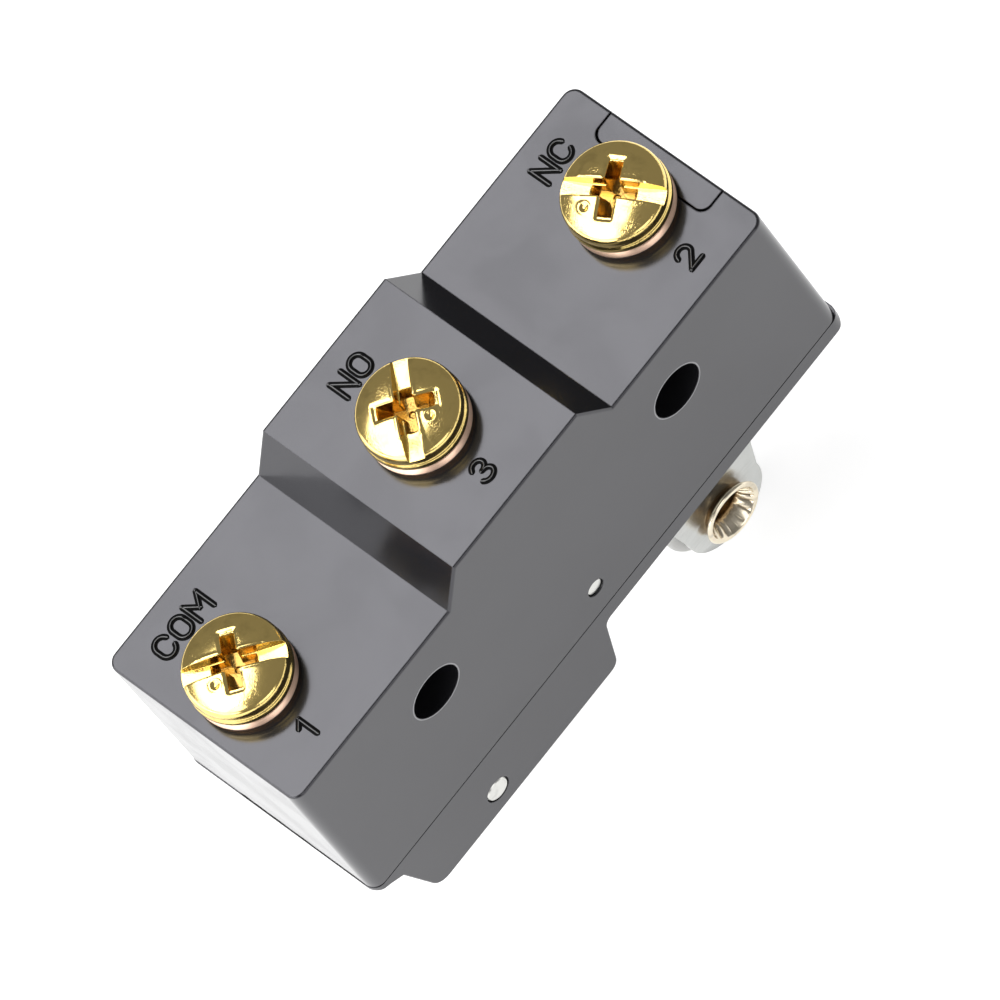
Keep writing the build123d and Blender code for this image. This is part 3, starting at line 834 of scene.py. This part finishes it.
def stroke_surface(path, width, rise):
    """A flat-topped bead carried along a path: each row is the bead's cross-section, set
    square to the path, and at the two ends the section shrinks as a circle does."""
    path = np.asarray(path, float)
    steps = np.linalg.norm(np.diff(path, axis=0), axis=1)
    along = np.concatenate([[0], np.cumsum(steps)])
    count = max(4, int(along[-1] / 0.06))
    at = np.linspace(0, along[-1], count)
    line = np.stack([np.interp(at, along, path[:, i]) for i in (0, 1)], axis=-1)
    tangent = np.gradient(line, axis=0)
    tangent /= np.linalg.norm(tangent, axis=1)[:, None]
    cap = np.linspace(math.pi / 2, 0, 6)[:-1]
    half = width / 2 + FOOT_WIDTH
    before = line[0] - tangent[0] * (np.sin(cap) * half)[:, None]
    after = line[-1] + tangent[-1] * (np.sin(cap[::-1]) * half)[:, None]
    centres = np.vstack([before, line, after])
    scale = np.concatenate([np.cos(cap), np.ones(count), np.cos(cap[::-1])])
    scale = np.maximum(scale, 0.02)
    tangents = np.vstack([np.repeat(tangent[:1], len(cap), axis=0), tangent,
                          np.repeat(tangent[-1:], len(cap), axis=0)])
    normals = np.stack([-tangents[:, 1], tangents[:, 0]], axis=-1)
    core = width / 2
    reach = core + FOOT_WIDTH
    offset = np.array([-reach, -reach + 0.01, -core, -core + 0.035, -core * 0.4,
                       core * 0.4, core - 0.035, core, reach - 0.01, reach])
    height = np.array([-0.02, 0.006, 0.010, rise * 0.86, rise, rise, rise * 0.86, 0.010,
                       0.006, -0.02])
    sideways = (offset[None, :] * scale[:, None])[..., None]
    flat = centres[:, None, :] + normals[:, None, :] * sideways
    tall = height[None, :] * np.clip(scale * 3, 0.05, 1)[:, None]
    tall = np.where(height[None, :] < 0, height[None, :], tall)
    points = np.concatenate([flat, tall[..., None]], axis=-1).reshape(-1, 3)
    faces = grid_faces(len(centres), len(offset), flip=True)
    column = np.arange(len(offset) - 1)
    in_foot = (column < 3) | (column > len(offset) - 5)
    shaded = in_foot[None, :] | (scale[:-1, None] < 0.45)
    return points, faces, shaded.reshape(-1)


def word_object(name, word, centre, face_z, settings, stroke_finish, foot_finish):
    """Raise a word's strokes from a face, centred on a point."""
    table = glyphs()
    size = settings.height / MM
    stroke = settings.stroke / MM
    rise = settings.rise / MM
    gap = 0.30 * size
    widths = [table[letter][0] * size for letter in word]
    left = centre[0] - (sum(widths) + gap * (len(word) - 1)) / 2
    points, faces, shaded = [], [], []
    for letter, width in zip(word, widths):
        for path in table[letter][1]:
            placed = np.asarray(path, float) * size + (left, centre[1] - size / 2)
            made, quads, in_foot = stroke_surface(placed, stroke, rise)
            start = sum(len(block) for block in points)
            points.append(made + (0, 0, face_z))
            faces += [[corner + start for corner in quad] for quad in quads]
            shaded.append(in_foot)
        left += width + gap
    made = mesh_object(name, np.vstack(points), faces, stroke_finish, 50)
    made.data.materials.append(foot_finish)
    made.data.polygons.foreach_set("material_index", np.concatenate(shaded).astype(np.int32))
    return made


# Stage

CAMERA_PLACE = (-0.127506, -0.558679, 1.067892)
CAMERA_RIGHT = (0.62166706, -0.72290784, -0.30155319)
CAMERA_DOWN = (-0.77616175, -0.51674469, -0.36131408)
CAMERA_AHEAD = (0.10537077, 0.45867111, -0.88233656)
CAMERA_LENS = 663.7
FLOOR_REACH = 3.0
FLOOR_GAP = 0.0004
FLOOR_GLOW = 0.74
ROOM_LIGHT = 0.24
# Name, direction, distance, half angle in degrees and radiance
SOFTBOXES = (
    ("softbox_top", (-0.17, 0.374, 0.911), 1.6, 22, 4.3),
    ("softbox_middle", (-0.50, 0.06, 0.86), 1.6, 15, 3.2),
    ("softbox_left", (-0.90, -0.15, 0.38), 1.2, 22, 3.0),
    ("softbox_far", (-0.80, 0.47, 0.33), 1.2, 22, 2.9),
    ("softbox_front", (-0.10, -0.84, 0.45), 1.2, 18, 1.8),
)


def lay_floor():
    """A white floor just below the part."""
    mesh = bpy.data.meshes.new("floor")
    reach, low = FLOOR_REACH, CAD_BOX[0].z - FLOOR_GAP
    mesh.from_pydata([(-reach, -reach, low), (reach, -reach, low),
                      (reach, reach, low), (-reach, reach, low)], [], [(0, 1, 2, 3)])
    floor = bpy.data.objects.new("floor", mesh)
    bpy.context.scene.collection.objects.link(floor)
    p = Painter("floor_white")
    p.set(Base_Color=(0.55, 0.55, 0.55), Roughness=0.9)
    p.feed(p.out.inputs["Surface"],
           glowing(p, p.surface.outputs[0], (1.0, 1.0, 1.0), FLOOR_GLOW))
    mesh.materials.append(p.material)


def hang_softbox(name, direction, distance, half_angle, radiance):
    """A round lamp that faces the part. A disk of size d looks as bright as L where its
    power is L (pi d / 2) squared."""
    lamp = bpy.data.lights.new(name, "AREA")
    lamp.shape = "DISK"
    lamp.size = 2 * distance * math.tan(math.radians(half_angle))
    lamp.energy = radiance * (math.pi * lamp.size / 2) ** 2
    shine = bpy.data.objects.new(name, lamp)
    aim = Vector(direction).normalized()
    shine.matrix_world = Matrix.Translation(aim * distance) \
        @ aim.to_track_quat("Z", "Y").to_matrix().to_4x4()
    bpy.context.scene.collection.objects.link(shine)


def light_room():
    """A dim room that looks white to the camera alone."""
    world = bpy.data.worlds.new("studio")
    bpy.context.scene.world = world
    world.use_nodes = True
    tree = world.node_tree
    tree.nodes.clear()
    out = tree.nodes.new("ShaderNodeOutputWorld")
    path = tree.nodes.new("ShaderNodeLightPath")
    mixed = tree.nodes.new("ShaderNodeMixShader")
    tree.links.new(path.outputs["Is Camera Ray"], mixed.inputs[0])
    for place, strength in ((1, ROOM_LIGHT), (2, 1.0)):
        light = tree.nodes.new("ShaderNodeBackground")
        light.inputs["Color"].default_value = (1, 1, 1, 1)
        light.inputs["Strength"].default_value = strength
        tree.links.new(light.outputs[0], mixed.inputs[place])
    tree.links.new(mixed.outputs[0], out.inputs["Surface"])


def place_camera():
    """The camera that was fitted to the photo."""
    camera_data = bpy.data.cameras.new("camera")
    camera_data.sensor_width = 36.0
    camera_data.lens = CAMERA_LENS
    camera_data.clip_start, camera_data.clip_end = 0.05, 10.0
    camera = bpy.data.objects.new("camera", camera_data)
    right, up, back = Vector(CAMERA_RIGHT), -Vector(CAMERA_DOWN), -Vector(CAMERA_AHEAD)
    turn = Matrix((right, up, back)).transposed().to_4x4()
    camera.matrix_world = Matrix.Translation(CAMERA_PLACE) @ turn
    bpy.context.scene.collection.objects.link(camera)
    bpy.context.scene.camera = camera


# Operators

class SWITCH_OT_body(bpy.types.Operator):
    """Finish the case, the cover and the end plug"""
    bl_idname = "switch.body"
    bl_label = "Case and cover"

    def execute(self, context):
        finish = moulding(context.scene.switch_moulding)
        for node in ("case", "cover", "end_plug"):
            dress_node(node, finish)
        # Painted shade: the seam gaps get the almost black finish of the letters' feet.
        gap = letter_foot()
        for name, *course in SEAM_GAP_SHADES:
            points, faces = seam_shade_surface(*course)
            made = mesh_object(name, points, faces, gap, 50)
            finish_piece(made, "housing", "moulding")
        return {"FINISHED"}


class SWITCH_OT_screws(bpy.types.Operator):
    """Make the three terminal screws and their washers"""
    bl_idname = "switch.screws"
    bl_label = "Terminal screws"

    def execute(self, context):
        metal, screw = context.scene.switch_metal, context.scene.switch_screw
        gilt = plated("gilt", metal.gilt, roughness=0.10, wear=0.5, grain=0.12, pitting=2.5)
        copper = plated("copper", metal.copper, roughness=0.34, wear=0.5, grain=0.3)
        for name in TERMINALS:
            lo, hi = span(f"{name}_screw")
            washer_lo, washer_hi = span(f"{name}_washer")
            centre = (lo + hi) / 2
            points, faces, recess = screw_surface(
                centre, washer_hi[2], lo[2], SLOT_ANGLES[name], BURR_PLACES[name], screw)
            made = mesh_object(f"{name}_screw_cut", points, faces, gilt, 38, recess)
            finish_piece(made, f"{name}_screw_shaft", "gilt_brass", f"{name}_screw")
            points, faces = washer_surface(centre, washer_hi[0] - centre[0],
                                           washer_lo[2], washer_hi[2])
            made = mesh_object(f"{name}_washer_dished", points, faces, copper, 60)
            finish_piece(made, f"{name}_washer_ring", "copper_plate", f"{name}_washer")
        return {"FINISHED"}


class SWITCH_OT_lettering(bpy.types.Operator):
    """Raise the terminal marks beside each screw"""
    bl_idname = "switch.lettering"
    bl_label = "Terminal marks"

    def execute(self, context):
        letter = context.scene.switch_letter
        finish, foot = letter_moulding(context.scene.switch_moulding), letter_foot()
        for name, word, centre, face_z in MARKS:
            made = word_object(name, word, centre, face_z, letter, finish, foot)
            finish_piece(made, "housing", "moulding")
        return {"FINISHED"}


class SWITCH_OT_lever(bpy.types.Operator):
    """Make the sheet lever, the hollow rivet and the roller"""
    bl_idname = "switch.lever"
    bl_label = "Lever and roller"

    def execute(self, context):
        steel = brushed_steel("stainless", context.scene.switch_metal.steel)
        made = bevelled_copy("lever", "lever_sheet", steel, 0.09)
        finish_piece(made, "lever_arm", "stainless", "lever")

        nickel = plated("rivet_nickel", (0.88, 0.79, 0.62), roughness=0.16, wear=0.7, grain=0.4)
        roller_lo, roller_hi = span("roller")
        centre = (roller_lo + roller_hi) / 2
        lo, hi = span("roller_rivet")
        points, faces, recess = rivet_surface(centre, lo[1], span("lever")[0][1], hi[1])
        made = mesh_object("rivet_flared", points, faces, nickel, 34, recess)
        finish_piece(made, "lever_arm", "nickel", "roller_rivet")

        white = nylon("nylon", (0.90, 0.895, 0.87))
        points, faces = roller_surface(centre, (roller_hi[0] - roller_lo[0]) / 2,
                                       roller_lo[1], roller_hi[1])
        made = mesh_object("roller_turned", points, faces, white, 40)
        finish_piece(made, "roller_wheel", "nylon", "roller")
        return {"FINISHED"}


class SWITCH_OT_inside(bpy.types.Operator):
    """Finish the pins, the plunger, the terminals, the blade and the contacts"""
    bl_idname = "switch.inside"
    bl_label = "Pins and inner parts"

    def execute(self, context):
        pin = plated("pin_steel", (0.66, 0.66, 0.63), roughness=0.26, wear=0.6, grain=0.5)
        brass = plated("terminal_brass", (0.78, 0.58, 0.28), roughness=0.28, wear=0.7, grain=0.3)
        blade = plated("blade_copper", (0.80, 0.50, 0.30), roughness=0.22, wear=0.6, grain=0.2)
        silver = plated("contact_silver", (0.80, 0.79, 0.75), roughness=0.24, wear=0.7,
                        grain=0.3)
        for finish, nodes in (
            (pin, ("hinge_pin", "cover_pin_front", "cover_pin_back")),
            (brass, ("com_terminal", "no_terminal", "nc_terminal", "blade_rivet")),
            (blade, ("snap_blade",)),
            (silver, ("moving_contact", "nc_contact", "no_contact")),
            (plunger_moulding(), ("plunger",)),
        ):
            for node in nodes:
                dress_node(node, finish)
        return {"FINISHED"}


class SWITCH_OT_stage(bpy.types.Operator):
    """Set the floor, the lights and the camera"""
    bl_idname = "switch.stage"
    bl_label = "Stage"

    def execute(self, context):
        lay_floor()
        for softbox in SOFTBOXES:
            hang_softbox(*softbox)
        light_room()
        place_camera()
        context.scene.view_settings.view_transform = "Standard"
        return {"FINISHED"}


STEPS = (SWITCH_OT_body, SWITCH_OT_screws, SWITCH_OT_lettering, SWITCH_OT_lever,
         SWITCH_OT_inside, SWITCH_OT_stage)
GROUPS = {
    "switch_moulding": MouldingSettings,
    "switch_metal": MetalSettings,
    "switch_screw": ScrewSettings,
    "switch_letter": LetterSettings,
}


# Panel and registration

class SWITCH_PT_panel(bpy.types.Panel):
    """Lists the steps and their settings"""
    bl_idname = "SWITCH_PT_panel"
    bl_label = "Micro switch"
    bl_space_type = "VIEW_3D"
    bl_region_type = "UI"
    bl_category = "Micro switch"

    def draw(self, context):
        for step in STEPS:
            self.layout.operator(step.bl_idname)
        for name, group in GROUPS.items():
            for prop in group.__annotations__:
                self.layout.prop(getattr(context.scene, name), prop)


def register():
    for cls in (*GROUPS.values(), *STEPS, SWITCH_PT_panel):
        bpy.utils.register_class(cls)
    for name, group in GROUPS.items():
        setattr(bpy.types.Scene, name, bpy.props.PointerProperty(type=group))


def unregister():
    for name in GROUPS:
        delattr(bpy.types.Scene, name)
    for cls in reversed((*GROUPS.values(), *STEPS, SWITCH_PT_panel)):
        bpy.utils.unregister_class(cls)


def main():
    register()
    for step in STEPS:
        group, name = step.bl_idname.split(".")
        getattr(getattr(bpy.ops, group), name)()


if __name__ == "__main__":
    main()
